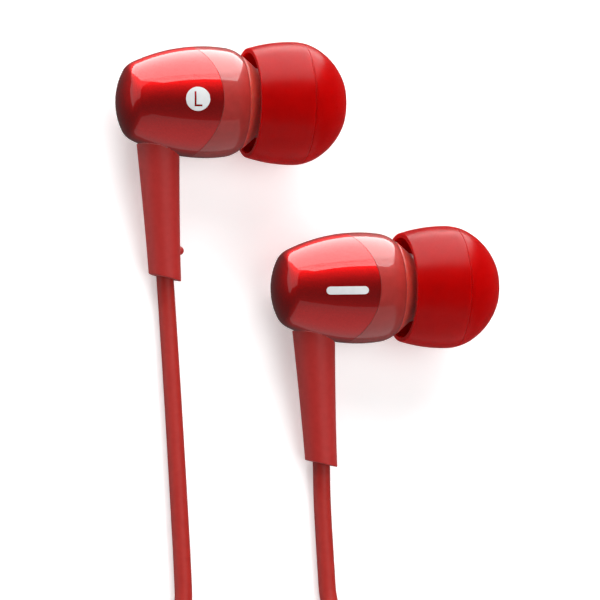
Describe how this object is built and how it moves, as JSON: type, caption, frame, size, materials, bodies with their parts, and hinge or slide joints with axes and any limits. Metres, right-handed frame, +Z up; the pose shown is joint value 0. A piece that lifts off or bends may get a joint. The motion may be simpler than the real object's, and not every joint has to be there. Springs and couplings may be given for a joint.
{
  "type": "wired earphones",
  "caption": "Wired in-ear earphones with barrel housings, soft mushroom ear tips, tapered stems and a thin cord with splitter, slider and round plug.",
  "frame": {"origin": "on the table, under the middle of the two earpieces", "axes": "+Z up; +X the way the ear tips point; the stems and cords run along -Y"},
  "size_m": [0.043, 0.1482, 0.0126],
  "materials": {
    "candy_shell": "candy red metallic, glossy lacquer",
    "frosted_ring": "translucent pinkish red, frosted",
    "nozzle": "darker translucent red",
    "ear_tip": "satin silicone, bright red",
    "mark": "light grey inlay",
    "relief": "matte red soft moulding",
    "cord": "matte red sheath",
    "brass": "plain",
    "copper": "enamelled copper",
    "board": "green board",
    "felt": "felt",
    "driver_frame": "black",
    "steel": "plated",
    "magnet": "nickel-plated magnet",
    "diaphragm": "thin film",
    "surround": "thin film",
    "core": "moulded core",
    "tie": "black strap",
    "gold": "gold-plated contact",
    "insulator": "black insulator"
  },
  "bodies": {
    "earphones": {"left_rear_shell": "candy_shell", "left_front_ring": "frosted_ring", "left_nozzle": "nozzle", "left_nozzle_mesh": "steel", "left_channel_mark": "mark", "left_badge": "mark", "left_strain_relief": "relief", "left_cord_crimp": "brass", "left_cord_end": "cord", "left_lead_wires": "copper", "left_terminal_board": "board", "left_damper": "felt", "left_driver_frame": "driver_frame", "left_driver_yoke": "steel", "left_driver_magnet": "magnet", "left_driver_plate": "steel", "left_surround": "surround", "right_rear_shell": "candy_shell", "right_front_ring": "frosted_ring", "right_nozzle": "nozzle", "right_nozzle_mesh": "steel", "right_channel_mark": "mark", "right_badge": "mark", "right_strain_relief": "relief", "right_cord_crimp": "brass", "right_cord_end": "cord", "right_lead_wires": "copper", "right_terminal_board": "board", "right_damper": "felt", "right_driver_frame": "driver_frame", "right_driver_yoke": "steel", "right_driver_magnet": "magnet", "right_driver_plate": "steel", "right_surround": "surround", "left_cord": "cord", "right_cord": "cord", "left_coil": "cord", "right_coil": "cord", "branch_tie": "tie", "splitter_body": "relief", "splitter_core": "core", "main_cord": "cord", "main_coil": "cord", "main_tie": "tie", "plug_relief": "relief", "plug_grip": "relief", "plug_sleeve": "gold", "plug_ring": "gold", "plug_tip": "gold", "plug_insulators": "insulator"},
    "left_tip": {"left_ear_tip": "ear_tip"},
    "left_cone": {"left_voice_coil": "copper", "left_diaphragm": "diaphragm"},
    "right_tip": {"right_ear_tip": "ear_tip"},
    "right_cone": {"right_voice_coil": "copper", "right_diaphragm": "diaphragm"},
    "slider": {"cord_slider": "relief"}
  },
  "joints": [
    {"name": "left_tip_pull", "type": "slide", "parent": "earphones", "child": "left_tip", "axis": [0.9978, -0.0035, 0.0669], "range_m": [0, 0.009]},
    {"name": "left_diaphragm_travel", "type": "slide", "parent": "earphones", "child": "left_cone", "axis": [0.9978, -0.0035, 0.0669], "range_m": [-0.00015, 0.00015], "stiffness_N_per_m": 18},
    {"name": "right_tip_pull", "type": "slide", "parent": "earphones", "child": "right_tip", "axis": [0.9978, 0.0035, 0.0669], "range_m": [0, 0.009]},
    {"name": "right_diaphragm_travel", "type": "slide", "parent": "earphones", "child": "right_cone", "axis": [0.9978, 0.0035, 0.0669], "range_m": [-0.00015, 0.00015], "stiffness_N_per_m": 18},
    {"name": "slider_travel", "type": "slide", "parent": "earphones", "child": "slider", "axis": [0, 1, 0], "range_m": [0, 0.006]}
  ]
}
